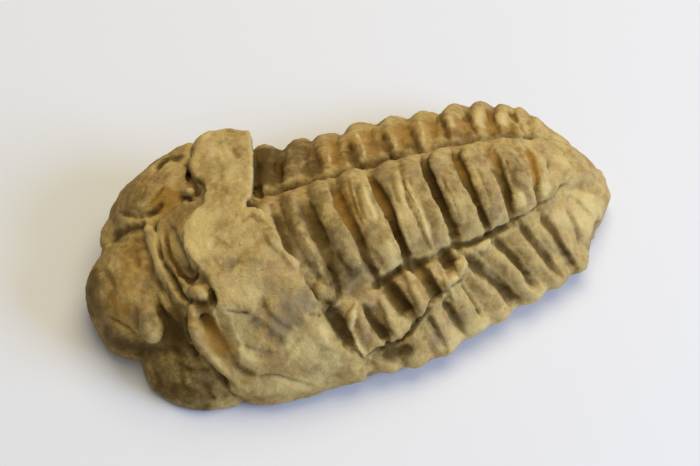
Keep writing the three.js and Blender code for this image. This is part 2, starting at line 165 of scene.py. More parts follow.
FAR_FLANK = (
    (0.8, 0.9, -0.65, [(276, 150), (278, 165), (281, 181)]),
    (0.64, 1.65, -0.98, [(315, 150), (318, 162), (323, 179)]),
    (0.56, 1.65, -0.98, [(348, 141), (352, 152), (361, 169)]),
    (0.56, 1.5, -0.9, [(380, 132), (386, 142), (395, 158)]),
    (0.56, 1.42, -0.9, [(409, 128), (413, 137), (421, 153)]),
    (0.48, 1.2, -0.75, [(442, 120), (445, 129), (450, 142)]),
    (0.48, 1.05, -0.65, [(467, 115), (471, 124), (478, 138)]),
    (0.48, 0.9, -0.65, [(488, 108), (492, 118), (499, 134)]),
    (0.4, 0.75, -0.54, [(508, 109), (516, 119), (526, 137)]),
    (0.4, 0.8, 0.12, [(288, 146), (291, 158), (296, 178)]),
    (0.4, 0.8, 0.12, [(322, 138), (325, 150), (331, 168)]),
    (0.4, 0.8, 0.12, [(354, 130), (358, 148), (366, 165)]),
    (0.4, 0.8, 0.12, [(385, 118), (390, 135), (397, 155)]),
    (0.4, 0.8, 0.12, [(418, 118), (421, 133), (425, 149)]),
    (0.4, 0.8, 0.12, [(448, 111), (451, 130)]),
    (0.4, 0.8, 0.12, [(475, 107), (480, 130)]),
    (0.4, 0.8, 0.12, [(499, 109), (503, 127)]),
    (1.1, 1.1, 0.4, [(305, 140), (309, 150)]),
    (1.1, 1.1, 0.4, [(336, 134), (341, 144)]),
    (1.1, 1.1, 0.4, [(370, 125), (375, 134)]),
    (1.1, 1.1, 0.4, [(400, 120), (405, 128)]),
    (1.1, 1.1, 0.4, [(433, 114), (438, 122)]),
)
FURROWS = (
    (
        0.6,
        0.8,
        -0.7,
        [(250, 202), (262, 194), (290, 187), (312, 179), (335, 178), (362, 168), (395, 157), (424, 152)],
    ),
    (0.4, 0.6, -0.5, [(424, 152), (455, 143), (480, 139), (500, 135), (525, 137), (560, 141)]),
    (1.0, 1.0, -1.2, [(256, 188), (258, 193)]),
    (0.7, 0.7, -1.0, [(249, 204), (251, 205)]),
    (0.6, 0.6, -0.9, [(283, 188), (294, 186)]),
    (0.4, 0.4, -0.6, [(275, 196), (276, 196)]),
    (0.4, 0.4, -0.6, [(269, 204), (271, 204)]),
    (0.6, 0.6, -1.0, [(361, 166), (363, 168)]),
    (0.6, 0.6, -1.1, [(393, 154), (395, 157)]),
    (0.6, 0.6, -0.8, [(418, 152), (424, 152)]),
    (0.9, 0.8, -1.1, [(370, 288), (388, 278), (400, 270), (413, 265), (434, 258)]),
    (0.7, 0.6, -0.9, [(434, 258), (455, 246), (470, 243), (484, 238), (496, 232), (514, 223)]),
    (0.35, 0.35, -0.7, [(480, 240), (500, 229), (520, 217), (535, 209), (548, 200), (560, 188), (572, 176)]),
)
NEAR_FLANK = (
    (1.5, 1.3, -1.55, [(326, 304), (335, 320), (344, 334), (352, 350)]),
    (0.45, 0.7, 0.84, [(356, 303), (352, 318), (351, 330), (358, 345), (370, 358)]),
    (0.7, 1.0, -1.1, [(364, 305), (371, 318), (380, 330), (388, 342)]),
    (0.8, 0.6, 0.48, [(380, 298), (386, 312), (393, 328), (400, 338)]),
    (0.8, 2.1, -1.4, [(386, 280), (396, 292), (405, 304), (414, 314)]),
    (0.6, 0.6, 0.72, [(403, 264), (409, 280), (416, 296), (422, 310)]),
    (0.8, 1.8, -1.2, [(416, 262), (425, 274), (434, 288), (440, 298)]),
    (0.5, 0.5, 0.72, [(436, 258), (441, 270), (447, 284), (455, 300)]),
    (1.7, 1.5, -1.2, [(442, 254), (450, 266)]),
    (0.5, 0.5, 0.35, [(461, 252), (465, 263), (460, 276), (451, 283)]),
    (0.5, 0.5, 0.48, [(482, 249), (489, 240)]),
    (0.9, 1.7, -1.2, [(461, 252), (476, 264), (490, 275), (501, 286), (512, 299), (518, 304)]),
    (0.6, 1.4, -1.05, [(494, 236), (508, 251), (520, 265), (532, 280), (540, 290)]),
    (0.6, 1.4, -1.0, [(518, 221), (530, 237), (541, 251), (552, 264), (562, 277)]),
    (0.6, 1.3, -0.95, [(541, 211), (552, 229), (562, 245), (570, 259), (576, 268)]),
    (0.5, 0.9, -0.5, [(566, 208), (575, 225), (582, 245)]),
    (0.35, 0.35, -0.7, [(462, 284), (470, 297), (482, 316)]),
    (0.7, 0.9, -0.7, [(444, 300), (453, 315), (464, 335)]),
    (0.7, 1.0, -0.8, [(428, 316), (436, 330), (446, 352)]),
    (1.5, 1.2, -0.6, [(374, 356), (392, 354), (410, 349), (420, 342)]),
)
CRACKS = (
    (0.4, 0.45, -1.5, [(368, 355), (382, 348), (398, 340), (408, 334), (420, 319), (430, 305), (438, 296)]),
    (0.3, 0.3, -0.7, [(436, 298), (450, 287), (461, 281), (466, 266)]),
)
PLATE = (
    (0.35, 0.35, -0.5, [(224, 311), (235, 313), (250, 314)]),
    (1.7, 1.7, -1.0, [(215, 312), (219, 326), (225, 341), (233, 354)]),
    (0.9, 1.6, -0.4, [(246, 314), (258, 324), (272, 336), (288, 346)]),
    (0.5, 1.2, -0.4, [(300, 338), (292, 347), (283, 358)]),
    (0.8, 0.8, -0.45, [(225, 262), (240, 262)]),
    (0.6, 0.6, -0.3, [(232, 150), (236, 158)]),
    (0.8, 0.6, -0.35, [(240, 222), (250, 216), (262, 222)]),
    (0.5, 0.5, -0.5, [(306, 262), (300, 268), (302, 275)]),
    (0.4, 0.4, -0.5, [(310, 315), (320, 316)]),
    (1.4, 1.4, 0.35, [(230, 335), (238, 352), (252, 364)]),
    (1.6, 1.6, 0.3, [(316, 322), (324, 338), (334, 350)]),
    (1.8, 1.8, 0.35, [(285, 300), (300, 305), (305, 325)]),
    (0.5, 2.2, -0.45, [(262, 300), (270, 315), (281, 326), (292, 332)]),
    (0.4, 1.8, -0.22, [(212, 236), (222, 244), (236, 247), (250, 243)]),
    (0.35, 1.6, -0.4, [(262, 232), (270, 246), (282, 256), (292, 270)]),
    (0.4, 1.5, -0.35, [(244, 345), (258, 352), (274, 352)]),
    (0.35, 1.4, -0.35, [(214, 150), (220, 168), (222, 184)]),
    (0.4, 0.7, -0.45, [(256, 376), (275, 374), (290, 380), (312, 386)]),
)
RIMS = (
    (2.6, 2.6, -1.2, [(604, 220), (602, 240), (594, 260)]),
)
HEAD_RELIEF = (
    (3.6, 3.6, 1.3, [(188, 150), (196, 144)]),
    (0.4, 0.5, -0.6, [(155, 173), (161, 165), (171, 158), (186, 156)]),
    (0.5, 0.5, -1.1, [(188, 162), (188, 180)]),
    (0.55, 0.55, -0.9, [(182, 192), (183, 198), (190, 200), (198, 197), (203, 191), (198, 183)]),
    (1.2, 1.2, -0.7, [(168, 226), (173, 241), (179, 254), (186, 266), (190, 272)]),
    (
        0.55,
        0.55,
        -0.8,
        [(164, 230), (167, 245), (173, 261), (181, 275), (189, 281), (197, 277), (197, 268), (190, 258), (183, 244)],
    ),
    (0.5, 0.5, 0.45, [(162, 238), (165, 250), (170, 264), (178, 277), (186, 286)]),
    (0.55, 0.55, -0.8, [(157, 240), (160, 255), (166, 268), (175, 284), (183, 297), (190, 304)]),
    (0.5, 0.5, 0.4, [(152, 226), (154, 240), (156, 254), (161, 268), (170, 285), (180, 298)]),
    (0.9, 1.0, -0.5, [(146, 232), (148, 250), (154, 274), (164, 292), (174, 306)]),
    (1.4, 1.4, 0.5, [(197, 290), (201, 292)]),
    (0.7, 0.7, -0.6, [(187, 300), (196, 304), (206, 303)]),
    (0.8, 0.7, -0.5, [(209, 286), (211, 297), (214, 307)]),
    (0.9, 1.7, -0.6, [(206, 306), (212, 325), (220, 345), (230, 360), (243, 371), (258, 376)]),
    (0.8, 0.8, 0.4, [(193, 312), (194, 328), (198, 340), (208, 354), (220, 366), (234, 380), (246, 390)]),
    (0.6, 0.7, -0.9, [(187, 306), (187, 322), (189, 338), (198, 353), (213, 368), (224, 381), (234, 394)]),
    (2.2, 2.2, 1.0, [(108, 233), (107, 244)]),
    (1.9, 1.9, 0.65, [(146, 302), (145, 318), (150, 333)]),
    (0.4, 0.7, -0.5, [(108, 317), (118, 322), (128, 328), (139, 336)]),
    (2.2, 2.0, -0.9, [(170, 304), (177, 322), (176, 346)]),
    (1.0, 1.0, -0.45, [(140, 342), (150, 348), (165, 350), (182, 351)]),
    (1.0, 0.8, -0.9, [(188, 344), (198, 357)]),
    (0.8, 0.8, -0.7, [(108, 247), (114, 239), (126, 230), (140, 228), (150, 224)]),
    (0.7, 0.7, -0.9, [(149, 214), (157, 211), (162, 202)]),
    (0.5, 0.5, -0.6, [(148, 204), (156, 196), (164, 187)]),
    (0.6, 0.6, -0.5, [(120, 213), (135, 218), (146, 216)]),
    (0.7, 0.7, -0.4, [(150, 364), (158, 376), (162, 390)]),
    (0.7, 0.7, -0.5, [(172, 360), (190, 370), (214, 369)]),
    (0.8, 0.8, -0.4, [(192, 380), (206, 388), (214, 402)]),
    (0.8, 0.8, -0.5, [(134, 258), (138, 266)]),
    (1.0, 1.0, -0.4, [(104, 270), (112, 288), (104, 304)]),
    (1.0, 1.0, -0.35, [(146, 262), (148, 282), (140, 298)]),
)
STROKES = RING_GROOVES + RING_FLAKES + FAR_FLANK + FURROWS + NEAR_FLANK + CRACKS + PLATE + RIMS + HEAD_RELIEF

# Stains, and painted shade and highlights laid on the same way: half width in millimetres and strength, then a
# route in the photograph's frame
STAINS = {
    "grey": (
        (2.0, 0.7, [(293, 228), (306, 258), (318, 280)]),
        (1.8, 0.6, [(333, 225), (345, 255)]),
        (3.4, 0.9, [(346, 272), (360, 290)]),
        (2.6, 0.9, [(268, 324), (294, 332)]),
        (3.4, 0.9, [(284, 314), (300, 306)]),
        (2.4, 0.9, [(300, 290), (312, 312)]),
        (4.5, 0.35, [(240, 275), (285, 285)]),
        (3.0, 0.35, [(228, 160), (226, 180)]),
        (1.2, 0.8, [(246, 317), (262, 326)]),
        (0.9, 0.7, [(224, 313), (248, 315)]),
        (2.0, 0.45, [(149, 306), (152, 330)]),
        (3.0, 0.5, [(140, 190), (118, 225)]),
        (1.6, 0.6, [(150, 228), (152, 245)]),
        (1.2, 0.5, [(540, 240), (552, 256)]),
        (1.2, 0.5, [(490, 265), (505, 285)]),
        (1.4, 0.7, [(433, 328), (441, 345)]),
        (1.4, 0.7, [(459, 312), (466, 330)]),
        (1.2, 0.6, [(563, 245), (570, 262)]),
        (1.0, 0.7, [(382, 170), (392, 205)]),
        (1.2, 0.6, [(408, 170), (416, 180)]),
        (1.2, 0.7, [(435, 158), (441, 185)]),
        (1.2, 0.5, [(490, 205), (496, 220)]),
        (2.2, 0.6, [(223, 258), (238, 266)]),
        (1.6, 0.4, [(268, 245), (285, 256)]),
        (1.6, 0.4, [(298, 368), (312, 362)]),
    ),
    "ochre": (
        (2.2, 0.35, [(413, 278), (424, 298)]),
        (2.2, 1.0, [(338, 190), (346, 212), (356, 232)]),
        (1.7, 0.8, [(369, 180), (381, 203), (390, 220)]),
        (1.6, 0.8, [(449, 152), (458, 168), (466, 182)]),
        (1.2, 0.7, [(491, 150), (498, 168)]),
        (1.2, 1.0, [(528, 150), (535, 172), (536, 188)]),
        (4.5, 0.6, [(290, 160), (330, 155), (370, 145), (410, 135), (450, 127), (490, 122), (520, 125)]),
        (2.0, 0.7, [(333, 138), (339, 152), (346, 168)]),
        (2.0, 0.7, [(366, 130), (374, 146), (380, 158)]),
        (2.2, 0.85, [(397, 125), (404, 138), (412, 150)]),
        (2.4, 0.8, [(430, 120), (440, 138)]),
        (1.8, 0.8, [(458, 116), (466, 132)]),
        (1.6, 0.7, [(484, 118), (490, 132), (525, 132)]),
        (2.6, 0.6, [(384, 288), (405, 300)]),
        (2.2, 0.6, [(415, 266), (434, 290)]),
        (1.8, 0.6, [(364, 310), (378, 330)]),
        (3.2, 0.6, [(140, 238), (134, 270), (124, 298)]),
        (2.4, 0.7, [(108, 300), (130, 312)]),
        (2.8, 1.0, [(152, 208), (166, 198), (172, 186)]),
        (2.6, 0.9, [(208, 312), (215, 333), (229, 354)]),
        (1.6, 0.5, [(192, 315), (194, 335)]),
        (2.0, 0.5, [(240, 382), (280, 392)]),
        (1.4, 0.5, [(602, 203), (604, 203)]),
        (1.0, 0.8, [(395, 340), (415, 338)]),
        (2.6, 0.4, [(120, 320), (132, 326)]),
    ),
    # Umber routes are partly dark earth and rock, as on the lower-left lobe, and partly painted shade: in the
    # grooves between rings and ribs, along the furrows, in hollows and crevices, under the nose, under the crack's
    # lip and in the shadow that the plate casts on the far flank
    "umber": (
        (1.0, 0.5, [(252, 318), (262, 328)]),
        (1.4, 0.35, [(268, 330), (284, 342)]),
        (1.2, 0.4, [(222, 262), (236, 268)]),
        (1.0, 0.35, [(240, 170), (246, 182)]),
        (0.9, 0.9, [(336, 282), (339, 294), (332, 302), (322, 305)]),
        (3.0, 0.4, [(350, 276), (364, 296)]),
        (0.5, 0.9, [(313, 142), (316, 156), (323, 179)]),
        (0.5, 0.9, [(345, 133), (351, 148), (361, 169)]),
        (0.5, 0.9, [(377, 124), (384, 138), (395, 158)]),
        (0.5, 0.8, [(406, 121), (412, 134), (421, 153)]),
        (0.5, 0.8, [(440, 113), (443, 123), (450, 142)]),
        (0.5, 0.7, [(464, 109), (469, 119), (478, 138)]),
        (0.8, 0.6, [(136, 304), (138, 322), (144, 340)]),
        (2.2, 0.35, [(150, 310), (152, 335)]),
        (2.6, 0.5, [(300, 280), (345, 262)]),
        (2.6, 0.5, [(503, 150), (520, 180), (528, 205)]),
        (3.0, 0.45, [(132, 236), (142, 256)]),
        (4.0, 0.75, [(322, 262), (352, 288)]),
        (9.0, 0.36, [(300, 225), (400, 200), (520, 170)]),
        (6.0, 0.22, [(380, 310), (470, 275), (550, 240)]),
        (1.3, 0.9, [(273, 212), (283, 236), (297, 258)]),
        (3.2, 0.55, [(283, 200), (300, 215), (315, 245)]),
        (1.5, 0.9, [(308, 208), (320, 236), (331, 264), (335, 284)]),
        (1.2, 0.95, [(358, 236), (366, 256), (375, 276)]),
        (1.1, 0.95, [(390, 220), (399, 240), (407, 257)]),
        (1.1, 0.85, [(424, 165), (434, 192), (448, 220), (460, 243)]),
        (0.9, 0.8, [(468, 186), (479, 210), (489, 230)]),
        (0.8, 0.9, [(500, 170), (508, 195), (511, 212)]),
        (0.8, 0.8, [(404, 190), (420, 226), (431, 249)]),
        # Painted shadow that the plate's far wing casts on the front of the far flank
        (4.6, 1.0, [(260, 146), (262, 168), (262, 196)]),
        (3.2, 0.9, [(274, 144), (278, 165), (283, 188)]),
        (4.5, 0.65, [(292, 140), (298, 160), (306, 180)]),
        (2.2, 0.8, [(308, 160), (320, 176)]),
        (2.2, 0.7, [(348, 150), (358, 164)]),
        (2.0, 0.6, [(378, 140), (392, 155)]),
        (1.8, 0.6, [(405, 144), (420, 151)]),
        (1.4, 0.5, [(440, 134), (478, 134)]),
        (1.2, 0.7, [(258, 194), (290, 187), (335, 178), (362, 168), (395, 157), (424, 152)]),
        (1.0, 0.6, [(424, 152), (455, 143), (500, 135), (550, 140)]),
        (2.4, 0.6, [(328, 306), (338, 322), (345, 338)]),
        (1.8, 0.9, [(364, 308), (374, 322), (384, 336)]),
        (2.3, 0.85, [(383, 284), (396, 299), (409, 314)]),
        (1.8, 0.7, [(424, 276), (438, 298)]),
        (2.2, 1.0, [(442, 254), (452, 268)]),
        (1.4, 0.8, [(374, 286), (400, 270), (430, 260)]),
        (0.8, 0.8, [(440, 252), (482, 240), (510, 226)]),
        (1.3, 0.9, [(465, 255), (478, 264), (490, 275), (508, 293)]),
        (1.0, 0.9, [(497, 239), (510, 254), (530, 277)]),
        (0.9, 0.8, [(520, 223), (535, 243), (552, 264)]),
        (0.9, 0.7, [(543, 213), (556, 235), (570, 259)]),
        (0.7, 0.4, [(566, 208), (578, 236)]),
        # Painted shadow under the crack's lip, then the dark crack itself
        (1.5, 0.85, [(380, 354), (400, 351), (416, 345)]),
        (0.7, 1.0, [(372, 353), (398, 340), (410, 332), (422, 316), (436, 298)]),
        (4.5, 0.25, [(152, 168), (128, 190), (110, 220), (102, 245)]),
        (3.5, 0.5, [(142, 188), (128, 218)]),
        (4.5, 0.6, [(98, 265), (92, 292), (96, 322)]),
        (3.0, 0.35, [(150, 250), (158, 285), (172, 300)]),
        (3.0, 0.8, [(100, 328), (122, 345), (150, 354)]),
        (3.0, 0.9, [(176, 308), (180, 340), (194, 352)]),
        (1.6, 0.8, [(158, 302), (170, 322), (168, 345)]),
        (6.0, 0.72, [(148, 372), (185, 388), (222, 400)]),
        (3.0, 0.5, [(200, 372), (230, 398)]),
        (0.8, 0.8, [(160, 242), (168, 266), (182, 294), (190, 303)]),
        (0.5, 0.9, [(165, 232), (168, 246), (174, 261), (182, 275), (190, 280), (196, 276)]),
        (1.4, 0.9, [(190, 300), (202, 305), (214, 300), (212, 290)]),
        (1.8, 0.6, [(200, 308), (210, 318)]),
        (0.8, 0.35, [(230, 362), (244, 372), (258, 376)]),
        (0.8, 0.8, [(150, 214), (160, 208)]),
        (1.0, 0.9, [(156, 172), (168, 160), (186, 157)]),
        (1.0, 1.0, [(187, 164), (188, 182)]),
        (1.0, 0.9, [(181, 194), (190, 199), (200, 194)]),
        (0.9, 0.9, [(249, 204), (252, 205)]),
        (1.2, 0.6, [(112, 240), (128, 230), (148, 225)]),
    ),
    # Cream routes are partly pale stone, as on the plate, and partly painted highlights along the crests of rings
    # and ribs
    "cream": (
        (2.4, 0.6, [(222, 300), (232, 330), (244, 350)]),
        (2.0, 0.5, [(212, 216), (236, 212)]),
        (2.0, 0.85, [(430, 353), (480, 330), (520, 308), (560, 282)]),
        (4.0, 0.4, [(225, 225), (250, 250)]),
        (2.2, 0.7, [(245, 389), (290, 386), (330, 374)]),
        (3.5, 0.6, [(232, 282), (250, 296), (262, 300)]),
        (1.0, 0.7, [(172, 228), (179, 250), (189, 268)]),
        (1.6, 0.6, [(153, 230), (156, 256), (166, 284)]),
        (3.0, 0.5, [(222, 140), (228, 170), (232, 190)]),
        (3.2, 1.0, [(207, 205), (193, 225), (191, 245), (202, 262)]),
        (3.0, 0.5, [(236, 330), (245, 350), (262, 362)]),
        (3.4, 1.0, [(290, 356), (300, 350), (314, 338)]),
        (2.2, 0.6, [(318, 325), (328, 345)]),
        (3.0, 0.6, [(320, 368), (342, 362)]),
        (1.4, 0.5, [(240, 285), (228, 300)]),
        (5.0, 0.7, [(590, 190), (588, 235)]),
        (1.4, 0.8, [(558, 214), (566, 222)]),
        # Painted highlights along the crests of the axial rings
        (1.4, 0.7, [(396, 178), (405, 212), (416, 248)]),
        (1.0, 0.9, [(361, 184), (367, 202), (376, 222)]),
        (1.3, 0.9, [(383, 240), (390, 258), (392, 272)]),
        (0.8, 0.9, [(406, 180), (418, 210), (431, 242)]),
        (1.2, 0.6, [(452, 190), (466, 225)]),
        (1.2, 0.9, [(517, 192), (522, 208)]),
        (1.2, 0.9, [(543, 182), (547, 195)]),
        (2.0, 0.8, [(553, 150), (562, 166)]),
        # Painted highlights on the ridges of the near flank
        (0.7, 0.9, [(356, 305), (352, 322), (359, 346), (370, 357)]),
        (0.5, 0.5, [(404, 266), (412, 288), (421, 308)]),
        (0.7, 0.7, [(437, 262), (446, 284), (456, 300)]),
        (0.6, 1.0, [(462, 254), (464, 268), (452, 282)]),
        (0.7, 1.0, [(482, 248), (488, 241)]),
        # Painted highlights along the crests of the far flank's ribs
        (0.45, 0.5, [(289, 148), (296, 176)]),
        (0.45, 0.7, [(323, 138), (330, 164)]),
        (0.45, 0.7, [(356, 132), (365, 160)]),
        (0.5, 0.7, [(387, 118), (397, 150)]),
        (0.45, 0.6, [(420, 120), (424, 144)]),
        (0.9, 0.6, [(449, 114), (452, 128)]),
        (1.2, 0.8, [(477, 108), (481, 128)]),
        (1.2, 0.8, [(500, 112), (504, 126)]),
        (0.8, 0.5, [(268, 378), (300, 381), (312, 386)]),
        (1.4, 0.5, [(484, 262), (512, 288)]),
    ),
}


class FossilShape(bpy.types.PropertyGroup):
    """Sizes of the stone's skin"""

    voxel: bpy.props.FloatProperty(
        name="Skin Detail",
        description="Side of the small faces that the stone's skin is made of",
        default=0.30 * MM,
        subtype="DISTANCE",
        unit="LENGTH",
    )
    kept_share: bpy.props.FloatProperty(
        name="Kept Share",
        description="Share of the skin's faces that is kept when the flat belly is made plainer",
        default=0.75,
        min=0.0,
        max=1.0,
        subtype="FACTOR",
    )
    edge_crease: bpy.props.FloatProperty(
        name="Edge Crease",
        description="How crisp the broken edges of the rock stay, from soft to sharp",
        default=0.45,
        min=0.0,
        max=1.0,
        subtype="FACTOR",
    )
    lump_height: bpy.props.FloatProperty(
        name="Lump Height",
        description="Height of the slow lumps of the weathered skin",
        default=0.4 * MM,
        subtype="DISTANCE",
        unit="LENGTH",
    )
    pit_height: bpy.props.FloatProperty(
        name="Pit Height",
        description="Height of the small pits and bumps of the weathered skin",
        default=0.30 * MM,
        subtype="DISTANCE",
        unit="LENGTH",
    )
    chip_height: bpy.props.FloatProperty(
        name="Chip Height",
        description="Height of the facets that chipping has left",
        default=0.30 * MM,
        subtype="DISTANCE",
        unit="LENGTH",
    )
    grain_height: bpy.props.FloatProperty(
        name="Grain Height",
        description="Height of the rock's grain in the skin",
        default=0.09 * MM,
        subtype="DISTANCE",
        unit="LENGTH",
    )
    edge_wander: bpy.props.FloatProperty(
        name="Edge Wander",
        description="How far the edges of grooves, ridges and stains stray from their routes",
        default=0.16 * MM,
        subtype="DISTANCE",
        unit="LENGTH",
    )
    relief_spread: bpy.props.IntProperty(
        name="Relief Spread",
        description="Smoothing steps that tell crests and hollows from the general shape",
        default=60,
    )
    relief_depth: bpy.props.FloatProperty(
        name="Relief Depth",
        description="Height of a crest, or depth of a hollow, that takes its full tone",
        default=0.35 * MM,
        subtype="DISTANCE",
        unit="LENGTH",
    )


class FossilColours(bpy.types.PropertyGroup):
    """Colours of the stone"""

    buff: bpy.props.FloatVectorProperty(
        name="Buff",
        description="The stone's own colour where it is clean",
        default=(0.54, 0.372, 0.12),
        size=3,
        subtype="COLOR",
    )
    tan: bpy.props.FloatVectorProperty(
        name="Tan",
        description="The darker tone that mottles the clean stone",
        default=(0.35, 0.22, 0.058),
        size=3,
        subtype="COLOR",
    )
    # Cream is also the colour of the painted light on slopes that face the tail and of the painted highlights on
    # crests
    cream: bpy.props.FloatVectorProperty(
        name="Cream",
        description="The pale tone of rubbed and freshly broken stone",
        default=(0.66, 0.50, 0.195),
        size=3,
        subtype="COLOR",
    )
    rose: bpy.props.FloatVectorProperty(
        name="Rose",
        description="The pinkish tone that clouds the clean stone",
        default=(0.38, 0.215, 0.10),
        size=3,
        subtype="COLOR",
    )
    ochre: bpy.props.FloatVectorProperty(
        name="Ochre",
        description="Iron stain",
        default=(0.37, 0.2, 0.035),
        size=3,
        subtype="COLOR",
    )
    # Umber is also the colour of the painted shade in grooves, in hollows and on slopes that face the head
    umber: bpy.props.FloatVectorProperty(
        name="Umber",
        description="Dark earth left in the grooves",
        default=(0.115, 0.066, 0.011),
        size=3,
        subtype="COLOR",
    )
    grey: bpy.props.FloatVectorProperty(
        name="Grey",
        description="Grey patches of the rock",
        default=(0.32, 0.235, 0.108),
        size=3,
        subtype="COLOR",
    )


class FossilStage(bpy.types.PropertyGroup):
    """Where the camera and the lights stand"""

    target: bpy.props.FloatVectorProperty(
        name="Target",
        description="The point that the camera looks at",
        default=(-0.73 * MM, -1.37 * MM, 10.0 * MM),
        size=3,
        subtype="XYZ",
        unit="LENGTH",
    )
    distance: bpy.props.FloatProperty(
        name="Camera Distance",
        description="From the camera to its target",
        default=360 * MM,
        subtype="DISTANCE",
        unit="LENGTH",
    )
    azimuth: bpy.props.FloatProperty(
        name="Camera Azimuth",
        description="Turn of the view about the upright: 0 looks along +Y",
        default=math.radians(-22),
        subtype="ANGLE",
        unit="ROTATION",
    )
    elevation: bpy.props.FloatProperty(
        name="Camera Elevation",
        description="How far the camera looks down on the stone",
        default=math.radians(57),
        subtype="ANGLE",
        unit="ROTATION",
    )
    lens: bpy.props.FloatProperty(
        name="Lens",
        description="Focal length in millimetres on a sensor 36 mm wide",
        default=126.0,
    )


def deselect_all():
    if bpy.context.mode != "OBJECT":
        bpy.ops.object.mode_set(mode="OBJECT")
    bpy.ops.object.select_all(action="DESELECT")


def make_active(piece):
    deselect_all()
    piece.select_set(True)
    bpy.context.view_layer.objects.active = piece


def apply_modifier(piece, kind, **settings):
    """Adds one modifier with these settings and applies it."""
    make_active(piece)
    modifier = piece.modifiers.new(kind.title(), kind)
    for name, value in settings.items():
        setattr(modifier, name, value)
    bpy.ops.object.modifier_apply(modifier=modifier.name)


class PhotoCamera:
    """The axes of the camera that was matched to the photograph."""

    def __init__(self, stage):
        turn = stage.azimuth
        rise = stage.elevation
        self.back = Vector((math.sin(turn) * math.cos(rise), -math.cos(turn) * math.cos(rise), math.sin(rise)))
        self.right = Vector((math.cos(turn), math.sin(turn), 0.0))
        self.up = self.back.cross(self.right)
        self.place = Vector(stage.target) + self.back * stage.distance
        self.focal = stage.lens / SENSOR_WIDTH * PHOTO_WIDTH

    def matrix(self):
        axes = Matrix((self.right, self.up, self.back)).transposed()
        return Matrix.Translation(self.place) @ axes.to_4x4()

    def sight_line(self, x, y):
        across = (x - PHOTO_WIDTH / 2) / self.focal
        upward = (PHOTO_HEIGHT / 2 - y) / self.focal
        return (self.right * across + self.up * upward - self.back).normalized()


def vertex_places(mesh):
    flat = np.empty(len(mesh.vertices) * 3)
    mesh.vertices.foreach_get("co", flat)
    return flat.reshape(-1, 3)


def soft_step(share):
    share = np.clip(share, 0, 1)
    return share * share * (3 - 2 * share)


class StoneSurface:
    """The stone's vertices and a way to find what the photograph shows at a pixel."""

    def __init__(self, stone, camera, wander):
        mesh = stone.data
        self.places = vertex_places(mesh)
        self.camera = camera
        self.tree = BVHTree.FromPolygons(
            [v.co for v in mesh.vertices],
            [tuple(p.vertices) for p in mesh.polygons],
        )
        for size, strength in WANDER_NOISE:
            drift = [noise.noise_vector(v.co / (size * MM)) for v in mesh.vertices]
            self.places = self.places + wander * strength * np.array(drift)

    def seen_at(self, x, y):
        line = self.camera.sight_line(x, y)
        hit = self.tree.ray_cast(self.camera.place, line)[0]
        if hit is not None:
            return np.array(hit)
        aside = np.linalg.norm(np.cross(self.places - np.array(self.camera.place), np.array(line)), axis=1)
        if aside.min() > RIM_SLACK * MM:
            raise RuntimeError(f"the stone isn't seen at pixel {x}, {y}")
        return self.places[aside.argmin()]

    def stroke(self, route, left, right, pointed):
        """How much of a stroke each vertex takes: all on its route, less at its ends, and none beyond its reach."""
        points = [self.seen_at(x, y) for x, y in route]
        reach = max(left, right)
        low = np.min(points, axis=0) - reach
        high = np.max(points, axis=0) + reach
        close = np.all((self.places > low) & (self.places < high), axis=1)
        places = self.places[close]
        nearest = np.full(len(places), np.inf)
        walked = np.zeros(len(places))
        width = np.full(len(places), right)
        before = 0.0
        for start, end in zip(points, points[1:]):
            along = end - start
            length = max(np.linalg.norm(along), 1e-9)
            share = np.clip((places - start) @ along / length**2, 0, 1)
            offset = places - start - share[:, None] * along
            distance = np.linalg.norm(offset, axis=1)
            leftward = np.cross(np.array(self.camera.back), along / length)
            lean = offset @ leftward / np.maximum(distance, 1e-9)
            closer = distance < nearest
            nearest = np.where(closer, distance, nearest)
            walked = np.where(closer, before + share * length, walked)
            width = np.where(closer, right + (left - right) * (0.5 + 0.5 * lean), width)
            before += length
        strength = np.ones(len(places))
        if before > TAPER_FROM * MM:
            from_end = np.minimum(walked, before - walked)
            strength = END_SHARE + (1 - END_SHARE) * soft_step(from_end / (TAPER_SHARE * before))
        share = np.clip(1 - nearest / (width * (0.5 + 0.5 * strength)), 0, 1)
        profile = share * (1 + CREST_ROUNDNESS * (1 - share)) if pointed else soft_step(share)
        amount = np.zeros(len(self.places))
        amount[close] = strength * profile
        return amount


def give_group(stone, name, weights):
    group = stone.vertex_groups.new(name=name)
    for i in np.flatnonzero(weights > 1e-3):
        group.add([int(i)], float(min(weights[i], 1.0)), "REPLACE")


def give_attribute(stone, name, values):
    attribute = stone.data.attributes.new(name, "FLOAT", "POINT")
    attribute.data.foreach_set("value", np.clip(values, 0, 1).astype(np.float32))


def copy_of_solid():
    """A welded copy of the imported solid, with its facets joined to four-sided faces where they can be."""
    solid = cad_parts[STONE_NODE]
    stone = bpy.data.objects.new("trilobite_stone", solid.data.copy())
    bpy.context.scene.collection.objects.link(stone)
    stone.data.materials.clear()
    make_active(stone)
    bpy.ops.object.mode_set(mode="EDIT")
    bpy.ops.mesh.select_all(action="SELECT")
    bpy.ops.mesh.remove_doubles(threshold=0.001 * MM)
    bpy.ops.mesh.normals_make_consistent(inside=False)
    bpy.ops.mesh.tris_convert_to_quads(face_threshold=JOINED_BEND, shape_threshold=JOINED_SKEW)
    bpy.ops.object.mode_set(mode="OBJECT")
    return stone


